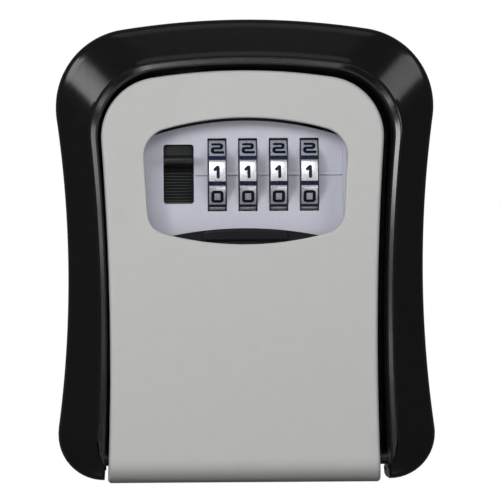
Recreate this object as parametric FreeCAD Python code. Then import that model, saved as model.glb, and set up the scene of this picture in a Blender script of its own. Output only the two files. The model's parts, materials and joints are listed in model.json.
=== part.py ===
import FreeCAD, Part
import math
import os

# Key lock box: a wall-mounted key safe with a drop-down door and four code dials.
# Millimetres. X is to the right, the front faces -Y, Z is up. The wall is the plane
# y = 0, and z = 0 is the middle of the height.

os.makedirs("parts", exist_ok=True)
V = FreeCAD.Vector

# Overall envelope
FRONT_Y = -40.0            # crest of the surround
WALL_GAP = 0.8             # the surround stops short of the wall
SHOULDER_Y = -30.9         # where the straight sides of the surround end
SHOULDER_R = 3.5
BEVEL_DEPTH = 0.9
LEDGE_Y = -33.3            # seat of the weather seal
LIP_BACK_Y = -31.0         # back of the surround's front ring
SKIN = 2.6                 # wall of the surround

# Rear housing
PLATE_T = 3.0
TUB_T = 1.8
TUB_FLOOR_Z = -51.85
HOUSING_FOOT_Z = -53.85
FLOOR_FRONT_Y = -26.3      # the floor is cut back so that the door's nose can roll past it
WALL_HOLE_X = 20.0
WALL_HOLE_Z = 30.0
WALL_HOLE_R = 2.5
FRAME_SCREWS = [(41.4, 30.0), (41.4, -40.0)]

# Catch for the bolt, under the top of the tub
STRIKE_X = (-22.0, -11.0)
STRIKE_LEG_Z = (42.2, 43.6)
STRIKE_LIP_Z = 40.8
RIVET_X = (-19.5, -13.5)
RIVET_TOP_Z = 47.0
RIVET_Y = -23.0

# Hinge
HINGE_Y = -32.8
HINGE_Z = -52.0
PIN_R = 1.5
RUN = 0.08                 # radial clearance of a running fit
EAR_X0 = 35.3
EAR_X1 = 37.1
EAR_R = 2.8
NOSE_R = 6.0

# Door
DOOR_SHIFT = -0.75         # the door hangs a little to the left in its opening
DOOR_T = 1.6
DOOR_EDGE_R = 0.9
WINDOW_RIM_R = 0.45
CROWN_R = 1500.0
CROWN_Z = -8.0
CROWN_Y = -39.45
SKIRT_Y = -32.0
HEEL_Y = -27.3
HEEL_Z = -44.0
COVER_SCREWS = [(29.5, 30.0), (29.5, 6.0)]
TRACK_SCREWS = [(29.5, -4.0), (29.5, -26.0)]

# Dial window in the door: arched top and bottom, sides leaning out
WINDOW_TOP_Z = 33.3
WINDOW_TOP_R = 75.0
WINDOW_FOOT_Z = 1.65
WINDOW_FOOT_R = 78.0
WINDOW_LOW = (24.55, 8.5)  # a point of each side, and the next one a higher point
WINDOW_HIGH = (25.4, 22.8)
WINDOW_UPPER_R = 7.0
WINDOW_LOWER_R = 5.5

# Dial panel and lock cover
PANEL_FRONT_Y = -32.0
PANEL_BACK_Y = -30.8
PANEL_TOP_Z = 32.7
PANEL_TOP_R = 75.0
COVER_BACK_Y = -9.1
COVER_X = 25.5
COVER_Z0 = 4.5
COVER_Z1 = 33.5
COVER_T = 1.6
RIBS_X = [(-12.05, -10.65), (20.25, 21.85)]
CLIPS_X = [-12.95, 22.05]
RIB_BACK_Y = -14.4

# Dials
DIAL_X0 = -7.05
DIAL_PITCH = 7.71
DIALS = 4
DIGITS = 10
AXIS_Y = -25.0
AXIS_Z = 19.15
SHAFT_R = 1.5
WHEEL_W = 4.5
WHEEL_R = 10.4
FACET_R = 10.05            # from the axis to a flat of the wheel
FACET_TILT = 6.1           # the front flat faces this many degrees upwards
SLEEVE_R = 3.9
GATE_R = 5.4
PLATE_W = 4.1
PLATE_H = 5.85
PLATE_THK = 0.3
DIAL_SLOT_W = 4.8
DIAL_SLOT_H = 18.3
SLOT_LIP_T = 0.6           # behind its lip a dial slot is taller
SLOT_RELIEF = 0.4

# Open slider, bolt and fence
SLIDER_X = -16.7
SLOT_W = 7.6
SLOT_Z0 = 11.9
SLOT_Z1 = 26.8
FLANGE_W = 8.8
FLANGE_Z = (5.5, 35.5)
FLANGE_BACK_Y = -29.0
THUMB_Y = -35.6
THUMB_PITCH = 0.75
THUMB_GROOVES = 10
BOLT_BACK_Y = -27.6
BOLT_TOP_Z = 40.3
BOLT_W = 7.0
FENCE_FOOT_BACK_Y = BOLT_BACK_Y + 1.2
FENCE_Y = (-13.8, -12.6)
FENCE_Z = (15.0, 23.0)
SLIDER_SCREWS = [(SLIDER_X, 20.5), (SLIDER_X, 28.0)]
SPRING_Y = -25.0
SPRING_R = 1.55
SPRING_WIRE_R = 0.3
SPRING_Z = (6.3, 14.9)

# Shutter
SHUTTER_Y = (-37.1, -36.1)
SHUTTER_X = -0.4
SHUTTER_HALF = 26.2
SHUTTER_TOP_Z = 5.7
SHUTTER_TOP_R = 92.0
SHUTTER_FOOT_Z = -28.6
GRIP_RISE = 1.3
TRACK_Y = (-35.9, -34.9)


def box(x0, x1, y0, y1, z0, z1):
    """Block between six planes."""
    return Part.makeBox(x1 - x0, y1 - y0, z1 - z0, V(x0, y0, z0))


def rod_x(x0, x1, r, y, z):
    """Cylinder along X."""
    return Part.makeCylinder(r, x1 - x0, V(x0, y, z), V(1, 0, 0))


def rod_y(y0, y1, r, x, z):
    """Cylinder along Y."""
    return Part.makeCylinder(r, y1 - y0, V(x, y0, z), V(0, 1, 0))


def rod_z(z0, z1, r, x, y):
    """Cylinder along Z."""
    return Part.makeCylinder(r, z1 - z0, V(x, y, z0), V(0, 0, 1))


def both_sides(points):
    """The points and their mirror images about x = 0."""
    return [(side * x, z) for x, z in points for side in (-1, 1)]


def flipped(shape):
    """Mirror image about x = 0."""
    return shape.mirror(V(0, 0, 0), V(1, 0, 0))


def clean(shape):
    """One solid with its split faces merged."""
    solid = shape.removeSplitter()
    return solid.Solids[0] if len(solid.Solids) == 1 else solid


def save(name, *pieces):
    """Write a node whose every piece is one valid solid."""
    solids = [clean(piece) for piece in pieces]
    for solid in solids:
        assert solid.isValid() and len(solid.Solids) == 1, (name, len(solid.Solids))
    shape = solids[0] if len(solids) == 1 else Part.makeCompound(solids)
    shape.exportStep(f"parts/{name}.step")
    print(f"{name:18s} solids {len(solids):3d}  volume {shape.Volume:10.1f}")


def screw(x, z, head_y, tip_y, head_r=2.0, head_h=1.4, shank_r=1.1):
    """Pan-head screw driven towards -Y, with a cross recess in its head."""
    body = rod_y(head_y, head_y + head_h, head_r, x, z)
    body = body.fuse(rod_y(tip_y, head_y, shank_r, x, z))
    for half_x, half_z in ((0.25, 1.2), (1.2, 0.25)):
        y0 = head_y + head_h - 0.6
        body = body.cut(box(x - half_x, x + half_x, y0, y0 + 1.0, z - half_z, z + half_z))
    return body


class Outline:
    """Front outline, the same left and right: crowned top, round shoulders, bowed-in sides."""

    def __init__(self, top, top_r, corner_r, waist, waist_z, side_r, foot, foot_r=0.0,
                 straight=False):
        self.values = [top, top_r, corner_r, waist, waist_z, side_r, foot, foot_r]
        self.straight = straight

    def inset(self, d):
        """The outline moved inwards by d, or outwards where d is negative."""
        top, top_r, corner_r, waist, waist_z, side_r, foot, foot_r = self.values
        return Outline(top - d, top_r - d, corner_r - d, waist - d, waist_z, side_r + d,
                       foot + d, max(foot_r - d, 0.0), self.straight)

    def with_foot(self, foot):
        """The same outline ending at another height."""
        values = self.values[:6] + [foot, self.values[7]]
        return Outline(*values, straight=self.straight)

    def blend(self, other, t):
        """Between this outline at t = 0 and another at t = 1."""
        values = [a + (b - a) * t for a, b in zip(self.values, other.values)]
        return Outline(*values, straight=self.straight)

    def right_side(self):
        """Points from the right shoulder to the foot, each with the middle of the arc to it."""
        top, top_r, corner_r, waist, waist_z, side_r, foot, foot_r = self.values
        a = V(0, 0, top - top_r)
        b = V(waist + side_r, 0, waist_z)
        c = meet(a, top_r - corner_r, b, side_r + corner_r)
        path = [(None, towards(a, c, top_r))]
        path.append(arc_step(c, path[-1][1], towards(b, c, side_r)))
        if self.straight:
            path.append(arc_step(b, path[-1][1], V(waist, 0, waist_z)))
            path.append((None, V(waist, 0, foot)))
        elif foot_r > 0:
            reach = side_r + foot_r
            z = foot + foot_r
            f = V(b.x - math.sqrt(reach ** 2 - (z - waist_z) ** 2), 0, z)
            path.append(arc_step(b, path[-1][1], towards(b, f, side_r)))
            path.append(arc_step(f, path[-1][1], V(f.x, 0, foot)))
        else:
            x = b.x - math.sqrt(side_r ** 2 - (foot - waist_z) ** 2)
            path.append(arc_step(b, path[-1][1], V(x, 0, foot)))
        return path

    def wire(self, y, cx=0.0):
        """Closed wire in the plane y."""
        path = self.right_side()
        start = path[0][1]
        edges = [arc(mirrored(start), V(0, 0, self.values[0]), start)]
        for (_, p), (mid, q) in zip(path, path[1:]):
            edges.append(arc(p, mid, q))
        edges.append(arc(path[-1][1], None, mirrored(path[-1][1])))
        for (mid, q), (_, p) in reversed(list(zip(path[1:], path))):
            edges.append(arc(mirrored(q), mirrored(mid), mirrored(p)))
        wire = Part.Wire(edges)
        wire.translate(V(cx, y, 0))
        return wire

    def prism(self, y0, y1, cx=0.0):
        """The outline extruded from y0 to y1."""
        return Part.Face(self.wire(y0, cx)).extrude(V(0, y1 - y0, 0))


def meet(a, ra, b, rb):
    """Upper crossing of two circles in the XZ plane."""
    gap = b - a
    d = gap.Length
    along = (ra ** 2 - rb ** 2 + d ** 2) / (2 * d)
    high = math.sqrt(ra ** 2 - along ** 2)
    unit = gap / d
    side = V(-unit.z, 0, unit.x)
    return max((a + unit * along + side * s * high for s in (-1, 1)), key=lambda p: p.z)


def towards(a, b, r):
    """The point r away from a in the direction of b."""
    return a + (b - a).normalize() * r


def arc_step(centre, p, q):
    """Middle and end of the short arc from p to q."""
    return (towards(centre, (p + q) / 2, (p - centre).Length), q)


def mirrored(p):
    """A point's mirror image about x = 0."""
    return None if p is None else V(-p.x, p.y, p.z)


def arc(p, mid, q):
    """Arc through three points, or a line where there is no middle."""
    if mid is None:
        return Part.LineSegment(p, q).toShape()
    return Part.Arc(p, mid, q).toShape()


def loft(sections):
    """Solid through outlines at given y."""
    return Part.makeLoft([outline.wire(y) for outline, y in sections], True, True)


# Outlines, from the silhouette inwards
SILHOUETTE = Outline(58.1, 198.5, 19.6, 44.5, -5.6, 283.0, -57.3, 11.4)
RIDGE = Outline(48.8, 184.4, 18.1, 36.94, -17.0, 442.0, -55.4, 8.0)
THROAT = Outline(46.7, 176.0, 16.7, 34.95, -20.0, 560.0, -61.0)
MOUTH = Outline(46.2, 175.5, 16.2, 34.5, -20.0, 560.0, -61.0)
TUB = Outline(47.1, 190.0, 14.8, 35.3, -30.0, 1000.0, TUB_FLOOR_Z, straight=True)
DOOR = Outline(45.2, 147.4, 15.0, 33.46, -25.0, 730.0, -61.0)


def hinge_rod(x0, x1, r):
    """Cylinder about the hinge axis."""
    return rod_x(x0, x1, r, HINGE_Y, HINGE_Z)


def surround_frame():
    """Moulded surround: round shoulders, a sloping face and a bevelled throat."""
    sections = [(SILHOUETTE.inset(0.75), -WALL_GAP), (SILHOUETTE.inset(0.3), -4.0)]
    sections.append((SILHOUETTE, -11.0))
    for angle in (0, 11, 22, 33, 45):
        turn = math.radians(angle)
        outline = SILHOUETTE.inset(SHOULDER_R * (1 - math.cos(turn)))
        sections.append((outline, SHOULDER_Y - SHOULDER_R * math.sin(turn)))
    sections.append((RIDGE, FRONT_Y + 0.3))
    sections.append((RIDGE.inset(0.3), FRONT_Y))
    body = loft(sections)

    bevel_back = FRONT_Y + BEVEL_DEPTH
    crest = RIDGE.inset(0.6)
    crest.values[6:] = THROAT.values[6:]
    beyond = crest.blend(THROAT, -0.5)
    body = body.cut(loft([(beyond, FRONT_Y - BEVEL_DEPTH / 2), (THROAT, bevel_back)]))
    body = body.cut(THROAT.prism(bevel_back, LEDGE_Y))
    body = body.cut(MOUTH.prism(LEDGE_Y, LIP_BACK_Y))

    hollow = SILHOUETTE.inset(SKIN).with_foot(HOUSING_FOOT_Z - 0.2)
    body = body.cut(hollow.prism(LIP_BACK_Y, 1.0))
    body = body.cut(box(-35.15, 35.15, -42.0, 1.0, -61.0, HOUSING_FOOT_Z - 0.15))

    for x, z in both_sides(FRAME_SCREWS):
        body = body.fuse(rod_y(LIP_BACK_Y - 2.0, -PLATE_T - 0.2, 2.2, x, z))
        body = body.cut(rod_y(-13.0, 0.0, 1.15, x, z))
    pocket = hinge_rod(34.9, EAR_X1 + 0.3, EAR_R + 0.2)
    pocket = pocket.fuse(box(34.9, EAR_X1 + 0.3, HINGE_Y, LIP_BACK_Y,
                             HINGE_Z - EAR_R - 0.2, HINGE_Z + EAR_R + 0.2))
    return body.cut(pocket).cut(flipped(pocket))


def rear_housing():
    """Back plate with the key tub, the hinge ears and the wall fixing holes."""
    plate = SILHOUETTE.inset(SKIN + 0.2).with_foot(HOUSING_FOOT_Z)
    body = plate.prism(-PLATE_T, 0.0)
    walls = TUB.inset(-TUB_T).with_foot(HOUSING_FOOT_Z).prism(LIP_BACK_Y, -PLATE_T)
    body = body.fuse(walls.cut(TUB.prism(LIP_BACK_Y, -PLATE_T)))
    body = body.cut(box(-EAR_X0, EAR_X0, LIP_BACK_Y, FLOOR_FRONT_Y, HOUSING_FOOT_Z, TUB_FLOOR_Z))
    pad = box(*STRIKE_X, -27.0, -19.0, STRIKE_LEG_Z[1], 48.0)
    body = body.fuse(pad)
    ear = hinge_rod(EAR_X0, EAR_X1, EAR_R)
    ear = ear.fuse(box(EAR_X0, EAR_X1, HINGE_Y, LIP_BACK_Y, HINGE_Z - 1.85, HINGE_Z + EAR_R))
    body = body.fuse(ear).fuse(flipped(ear))
    body = body.cut(hinge_rod(-EAR_X1, EAR_X1, PIN_R + 0.02))
    for x, z in both_sides([(WALL_HOLE_X, WALL_HOLE_Z), (WALL_HOLE_X, -WALL_HOLE_Z)]):
        body = body.cut(rod_y(-PLATE_T, 0.0, WALL_HOLE_R, x, z))
        sink = Part.makeCone(WALL_HOLE_R + 2.2, WALL_HOLE_R, 1.6, V(x, -PLATE_T, z), V(0, 1, 0))
        body = body.cut(sink)
    for x, z in both_sides(FRAME_SCREWS):
        body = body.cut(rod_y(-PLATE_T, 0.0, 1.3, x, z))
        body = body.cut(rod_y(-1.7, 0.0, 2.2, x, z))
    for x in RIVET_X:
        body = body.cut(rod_z(STRIKE_LEG_Z[1], RIVET_TOP_Z, 1.0, x, RIVET_Y))
    return body


def weather_seal():
    """Rubber strip on the ledge of the throat, round the top and down both sides."""
    foot = -46.0
    ring = THROAT.inset(0.05).prism(LEDGE_Y - 2.0, LEDGE_Y)
    inner = MOUTH.prism(LEDGE_Y - 2.0, LEDGE_Y)
    return ring.cut(inner).cut(box(-40.0, 40.0, -42.0, 0.0, -62.0, foot))


def strike_plate():
    """Bent steel catch under the top of the tub."""
    leg = box(*STRIKE_X, LIP_BACK_Y, -18.0, *STRIKE_LEG_Z)
    lip = box(*STRIKE_X, LIP_BACK_Y, LIP_BACK_Y + 1.4, STRIKE_LIP_Z, STRIKE_LEG_Z[1])
    body = leg.fuse(lip).removeSplitter()
    corners = [e for e in body.Edges if abs(e.Length - 1.4) < 1e-6]
    body = body.makeFillet(0.6, corners)
    for x in RIVET_X:
        body = body.cut(rod_z(STRIKE_LEG_Z[0], STRIKE_LEG_Z[1], 1.0, x, RIVET_Y))
    return body


def strike_rivet(x):
    """Rivet through the catch into the pad above it."""
    head = rod_z(STRIKE_LEG_Z[0] - 0.7, STRIKE_LEG_Z[0], 1.8, x, RIVET_Y)
    return head.fuse(rod_z(STRIKE_LEG_Z[0], RIVET_TOP_Z, 1.0, x, RIVET_Y))


def yz_point(y, z):
    """Point of a side profile."""
    return V(-45.0, y, z)


def crown_y(z, depth):
    """Front of the crowned face, or depth behind it."""
    r = CROWN_R - depth
    return CROWN_Y + CROWN_R - math.sqrt(r ** 2 - (z - CROWN_Z) ** 2)


def nose_point(r, angle):
    """Point about the hinge axis; 0 is straight ahead and 90 straight down."""
    turn = math.radians(angle)
    return yz_point(HINGE_Y - r * math.cos(turn), HINGE_Z - r * math.sin(turn))


def door_slab(depth, back_y, heel_angle):
    """The door's side profile run across its width: crowned face, rolled nose, flat back."""
    r = NOSE_R - depth
    top = 50.0
    start = yz_point(crown_y(top, depth), top)
    middle = yz_point(crown_y(0.0, depth), 0.0)
    heel = nose_point(r, heel_angle)
    edges = [arc(start, middle, nose_point(r, 0))]
    edges.append(arc(nose_point(r, 0), nose_point(r, heel_angle / 2), heel))
    corners = [heel, yz_point(back_y, heel.z), yz_point(back_y, top), start]
    for p, q in zip(corners, corners[1:]):
        if (q - p).Length > 1e-6:
            edges.append(arc(p, None, q))
    return Part.Face(Part.Wire(edges)).extrude(V(90.0, 0, 0))


def window_prism(y0, y1):
    """The dial window: arched top and bottom, sides leaning out, round corners."""
    high = rod_y(y0, y1, WINDOW_TOP_R, 0.0, WINDOW_TOP_Z - WINDOW_TOP_R)
    low = rod_y(y0, y1, WINDOW_FOOT_R, 0.0, WINDOW_FOOT_Z + WINDOW_FOOT_R)
    lean = (WINDOW_HIGH[0] - WINDOW_LOW[0]) / (WINDOW_HIGH[1] - WINDOW_LOW[1])
    corners = []
    for side, z in ((1, -5.0), (1, 40.0), (-1, 40.0), (-1, -5.0)):
        x = WINDOW_LOW[0] + lean * (z - WINDOW_LOW[1])
        corners.append(V(side * x, y0, z))
    sides = Part.Face(Part.makePolygon(corners + corners[:1])).extrude(V(0, y1 - y0, 0))
    body = high.common(low).common(sides).removeSplitter()
    upright = [e for e in body.Edges if len(e.Vertexes) == 2
               and abs(e.Vertexes[0].Y - e.Vertexes[1].Y) > 0.9 * (y1 - y0)]
    upper = [e for e in upright if e.CenterOfMass.z > 15]
    lower = [e for e in upright if e.CenterOfMass.z < 15]
    body = body.makeFillet(WINDOW_UPPER_R, upper)
    lower = [e for e in body.Edges for f in lower
             if (e.CenterOfMass - f.CenterOfMass).Length < 1e-3]
    return body.makeFillet(WINDOW_LOWER_R, lower)


def door_shell():
    """Cast door: crowned face, rolled hinge nose, skirts, dial window and screw bosses."""
    heel_angle = 180 - math.degrees(math.acos((HEEL_Y - HINGE_Y) / NOSE_R))
    body = door_slab(0.0, HEEL_Y, heel_angle).common(DOOR.prism(-45.0, -20.0, DOOR_SHIFT))
    rim = [e for e in body.Edges if e.CenterOfMass.y < -37.5 and e.Length > 3.0]
    body = body.makeFillet(DOOR_EDGE_R, rim)
    body = body.cut(box(-50.0, 50.0, SKIRT_Y, 0.0, HEEL_Z + 3.0, 60.0))
    inside = door_slab(DOOR_T, -20.0, 137.0)
    body = body.cut(inside.common(DOOR.inset(DOOR_T).prism(-45.0, -20.0, DOOR_SHIFT)))

    for x, z in both_sides(COVER_SCREWS):
        body = body.fuse(rod_y(-38.2, PANEL_FRONT_Y, 2.4, x, z))
        body = body.cut(rod_y(-36.6, PANEL_FRONT_Y, 1.15, x, z))
    for x, z in both_sides(TRACK_SCREWS):
        body = body.fuse(rod_y(-38.4, TRACK_Y[0], 1.5, x, z))
        body = body.cut(rod_y(-37.4, TRACK_Y[0], 1.0, x, z))
    guide = box(27.0, 27.9, -38.2, -36.2, 1.5, 32.0)
    body = body.fuse(guide).fuse(flipped(guide))
    for x0 in (-32.9, 25.0):
        knuckle = hinge_rod(x0, x0 + 7.0, 3.1)
        knuckle = knuckle.fuse(box(x0, x0 + 7.0, -38.0, HINGE_Y, HINGE_Z - 2.0, HINGE_Z + 3.0))
        body = body.fuse(knuckle)
    body = body.cut(hinge_rod(-36.0, 36.0, PIN_R + RUN))
    body = body.cut(window_prism(-45.0, -36.5)).removeSplitter()
    rim = [e for e in body.Edges if e.CenterOfMass.y < -38.5 and e.BoundBox.ZMin > 1.0
           and e.BoundBox.ZMax < 34.0 and e.BoundBox.XLength < 52.0]
    return body.makeFillet(WINDOW_RIM_R, rim)


def top_arch(top_z, top_r, y0, y1, half, foot_z, cx=0.0):
    """Plate with an arched top."""
    disc = rod_y(y0, y1, top_r, cx, top_z - top_r)
    return disc.common(box(cx - half, cx + half, y0, y1, foot_z, top_z + 1.0))


def dial_x(n):
    """Middle of a dial."""
    return DIAL_X0 + n * DIAL_PITCH


def dial_panel():
    """Face plate behind the window, with the dial slots, the slider slot and an index line."""
    y0, y1 = PANEL_FRONT_Y, PANEL_BACK_Y
    body = top_arch(PANEL_TOP_Z, PANEL_TOP_R, y0, y1, 26.5, 0.5)
    for x, z in both_sides(COVER_SCREWS):
        side = math.copysign(1, x)
        x0, x1 = sorted((side * 24.0, x))
        link = box(x0, x1, y0, y1, z - 2.6, z + (0.0 if z > 15 else 2.6))
        body = body.fuse(rod_y(y0, y1, 2.8, x, z)).fuse(link)
        body = body.cut(rod_y(y0, y1, 1.3, x, z))
    for side in (-1, 1):
        x0, x1 = sorted((side * 24.4, side * 25.4))
        body = body.fuse(box(x0, x1, -36.0, y0, 8.0, 27.5))
    index = box(-12.5, 24.4, y0 - 0.55, y0, AXIS_Z - 0.2, AXIS_Z + 0.7)
    index = index.makeFillet(0.25, [e for e in index.Edges if e.Length > 30
                                    and e.CenterOfMass.y < y0 - 0.5])
    body = body.fuse(index)
    half_w = DIAL_SLOT_W / 2
    for n in range(DIALS):
        x0, x1 = dial_x(n) - half_w, dial_x(n) + half_w
        for front, half_h in ((y0 - 1.0, DIAL_SLOT_H / 2),
                              (y0 + SLOT_LIP_T, DIAL_SLOT_H / 2 + SLOT_RELIEF)):
            body = body.cut(box(x0, x1, front, y1, AXIS_Z - half_h, AXIS_Z + half_h))
    slot = box(SLIDER_X - SLOT_W / 2, SLIDER_X + SLOT_W / 2, y0, y1, SLOT_Z0, SLOT_Z1)
    slot = slot.makeFillet(0.8, [e for e in slot.Edges if abs(e.Length - (y1 - y0)) < 1e-6])
    return body.cut(slot)


def lock_cover():
    """Box over the mechanism, behind the panel, with two ribs that carry the dial shaft."""
    front = PANEL_BACK_Y
    body = box(-COVER_X, COVER_X, front, COVER_BACK_Y, COVER_Z0, COVER_Z1)
    upright = [e for e in body.Edges if abs(e.Length - (COVER_BACK_Y - front)) < 1e-6]
    body = body.makeFillet(2.5, upright)
    t = COVER_T
    hollow = box(-COVER_X + t, COVER_X - t, front, COVER_BACK_Y - t, COVER_Z0 + t, COVER_Z1 - t)
    body = body.cut(hollow)
    for x0, x1 in RIBS_X:
        rib = box(x0, x1, front + 0.8, RIB_BACK_Y, COVER_Z0 + t, COVER_Z1 - t)
        body = body.fuse(rib)
    body = body.cut(rod_x(*CLIPS_X, SHAFT_R + 0.03, AXIS_Y, AXIS_Z))
    for x, z in both_sides(COVER_SCREWS):
        side = math.copysign(1, x)
        x0, x1 = sorted((side * (COVER_X - 1.0), x))
        ear = rod_y(front, front + 1.6, 3.2, x, z)
        ear = ear.fuse(box(x0, x1, front, front + 1.6, z - 3.0, z + 3.0))
        body = body.fuse(ear.cut(rod_y(front, front + 1.6, 1.3, x, z)))
    half = FLANGE_W / 2 + 0.4
    slider_way = box(SLIDER_X - half, SLIDER_X + half, front, BOLT_BACK_Y + 0.4,
                     COVER_Z0, COVER_Z0 + t)
    bolt_way = box(SLIDER_X - half, SLIDER_X + half, front, BOLT_BACK_Y + 0.4,
                   COVER_Z1 - t, COVER_Z1)
    reset_way = box(3.6, 13.4, COVER_BACK_Y - t, COVER_BACK_Y, 25.2, 28.8)
    return body.cut(slider_way).cut(bolt_way).cut(reset_way)


def dial_shaft():
    """Fixed shaft through both ribs."""
    return rod_x(CLIPS_X[0] - 0.5, CLIPS_X[1] + 1.4, SHAFT_R, AXIS_Y, AXIS_Z)


def ring_x(x0, x1, r, bore):
    """Ring on the dial shaft."""
    return rod_x(x0, x1, r, AXIS_Y, AXIS_Z).cut(rod_x(x0, x1, bore, AXIS_Y, AXIS_Z))


def shaft_clip(x0):
    """Snap ring with a gap."""
    ring = ring_x(x0, x0 + 0.6, 2.7, SHAFT_R + 0.02)
    return ring.cut(box(x0, x0 + 0.6, AXIS_Y - 0.9, AXIS_Y + 0.9, AXIS_Z - 3.0, AXIS_Z))


def turned(shape, angle):
    """Turned about the dial axis; a positive angle lifts the front."""
    copy = shape.copy()
    copy.rotate(V(0, AXIS_Y, AXIS_Z), V(1, 0, 0), -angle)
    return copy


def facet_angle(k):
    """How far flat k faces above straight ahead."""
    return FACET_TILT + k * 360.0 / DIGITS


def dial_wheel(n):
    """Ten-sided wheel with a bore for its code sleeve."""
    x0 = dial_x(n) - WHEEL_W / 2
    x1 = dial_x(n) + WHEEL_W / 2
    body = ring_x(x0, x1, WHEEL_R, SLEEVE_R + 0.05)
    for k in range(DIGITS):
        shaving = box(x0 - 1.0, x1 + 1.0, AXIS_Y - 20.0, AXIS_Y - FACET_R,
                      AXIS_Z - 8.0, AXIS_Z + 8.0)
        body = body.cut(turned(shaving, facet_angle(k)))
    return body


def digit_plates(n):
    """One thin plate on each flat of the wheel."""
    x = dial_x(n)
    plate = box(x - PLATE_W / 2, x + PLATE_W / 2, AXIS_Y - FACET_R - PLATE_THK,
                AXIS_Y - FACET_R, AXIS_Z - PLATE_H / 2, AXIS_Z + PLATE_H / 2)
    return [turned(plate, facet_angle(k)) for k in range(DIGITS)]


def code_sleeve(n):
    """Sleeve in the wheel, with the notched gate disc that the fence reads."""
    x = dial_x(n)
    bore = SHAFT_R + RUN
    body = ring_x(x - WHEEL_W / 2, x + WHEEL_W / 2 + 0.15, SLEEVE_R, bore)
    disc = ring_x(x + 2.4, x + 3.8, GATE_R, bore)
    notch = box(x + 2.4, x + 3.8, AXIS_Y + GATE_R - 2.2, AXIS_Y + GATE_R + 1.0,
                AXIS_Z - 1.6, AXIS_Z + 1.6)
    return body.fuse(disc.cut(notch))


def dial_spacers():
    """Washers that keep the dials apart on the shaft."""
    starts = [(RIBS_X[0][1] + 0.15, 1.05)]
    for n in range(DIALS - 1):
        starts.append((dial_x(n) + 4.05, 1.2))
    return [ring_x(x, x + width, 4.0, SHAFT_R + 0.02) for x, width in starts]


def detent_spring():
    """Leaf comb under the wheels: a strip with one finger for each dial."""
    x0, x1 = RIBS_X[0][1] + 0.3, RIBS_X[1][0] - 0.3
    body = box(x0, x1, AXIS_Y + 4.0, AXIS_Y + 7.0, 6.1, 6.6)
    for n in range(DIALS):
        x = dial_x(n)
        body = body.fuse(box(x - 1.3, x + 1.3, AXIS_Y - 4.0, AXIS_Y + 4.0, 6.1, 6.6))
        body = body.fuse(rod_x(x - 1.3, x + 1.3, 0.9, AXIS_Y - 3.1, 7.0))
    return body


def open_slider():
    """Thumb slider: a flange behind the panel and a thumb ridge through the slot."""
    half = FLANGE_W / 2
    front = PANEL_BACK_Y + 0.2
    body = box(SLIDER_X - half, SLIDER_X + half, front, FLANGE_BACK_Y, *FLANGE_Z)
    thumb = SLOT_W / 2 - 0.2
    ridge = box(SLIDER_X - thumb, SLIDER_X + thumb, THUMB_Y, front, 21.7, 23.7)
    ridge = ridge.makeFillet(0.6, [e for e in ridge.Edges if e.CenterOfMass.y < THUMB_Y + 0.1])
    step = box(SLIDER_X - thumb, SLIDER_X + thumb, front - 1.3, front, 20.0, 21.0)
    body = body.fuse(ridge).fuse(step)
    for groove in range(THUMB_GROOVES):
        z = SLOT_Z0 + 0.5 + groove * THUMB_PITCH
        body = body.cut(box(SLIDER_X - half, SLIDER_X + half, front, front + 0.3, z, z + 0.3))
    for x, z in SLIDER_SCREWS:
        body = body.cut(rod_y(front + 0.5, FLANGE_BACK_Y, 0.95, x, z))
    return body


def latch_bolt():
    """Steel strip that slides up behind the catch, with a shelf for its spring."""
    half = BOLT_W / 2
    body = box(SLIDER_X - half, SLIDER_X + half, FLANGE_BACK_Y, BOLT_BACK_Y, 8.0, BOLT_TOP_Z)
    tip = Part.makePolygon([V(SLIDER_X - 5, FLANGE_BACK_Y, BOLT_TOP_Z - 1.4),
                            V(SLIDER_X - 5, FLANGE_BACK_Y, BOLT_TOP_Z),
                            V(SLIDER_X - 5, FLANGE_BACK_Y + 0.9, BOLT_TOP_Z),
                            V(SLIDER_X - 5, FLANGE_BACK_Y, BOLT_TOP_Z - 1.4)])
    body = body.cut(Part.Face(tip).extrude(V(10, 0, 0)))
    shelf = box(SLIDER_X - 2.1, SLIDER_X + 2.1, BOLT_BACK_Y, SPRING_Y + 2.2,
                SPRING_Z[1], SPRING_Z[1] + 1.4)
    body = body.fuse(shelf)
    for x, z in SLIDER_SCREWS:
        body = body.cut(rod_y(FLANGE_BACK_Y, BOLT_BACK_Y, 1.0, x, z))
    return body


def gate_fence():
    """Bar behind the gate discs, with one finger for each, on an arm from the bolt."""
    z0, z1 = FENCE_Z
    left = SLIDER_X - BOLT_W / 2
    foot = box(left, SLIDER_X + 2.6, BOLT_BACK_Y, FENCE_FOOT_BACK_Y, 17.5, z1)
    arm = box(left, left + 1.4, BOLT_BACK_Y, FENCE_Y[1], 17.5, z1)
    body = foot.fuse(arm).fuse(box(left, 20.3, FENCE_Y[0], FENCE_Y[1], z0, z1))
    for n in range(DIALS):
        x = dial_x(n) + 2.6
        body = body.fuse(box(x, x + 1.0, AXIS_Y + GATE_R + 0.35, FENCE_Y[0], z0 + 2.0, z1 - 2.0))
    return body.cut(rod_y(BOLT_BACK_Y, FENCE_FOOT_BACK_Y, 1.0, *SLIDER_SCREWS[0]))


def latch_spring():
    """Compression spring between the cover's floor and the bolt's shelf."""
    z0, z1 = SPRING_Z
    r = SPRING_WIRE_R
    path = Part.makeHelix((z1 - z0 - 2 * r) / 6.0, z1 - z0 - 2 * r, SPRING_R)
    ring = Part.Wire(Part.makeCircle(r, V(SPRING_R, 0, 0), V(0, 1, 0)))
    coil = Part.Wire(path).makePipeShell([ring], True, True)
    coil.translate(V(SLIDER_X, SPRING_Y, z0 + r))
    return coil


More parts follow.
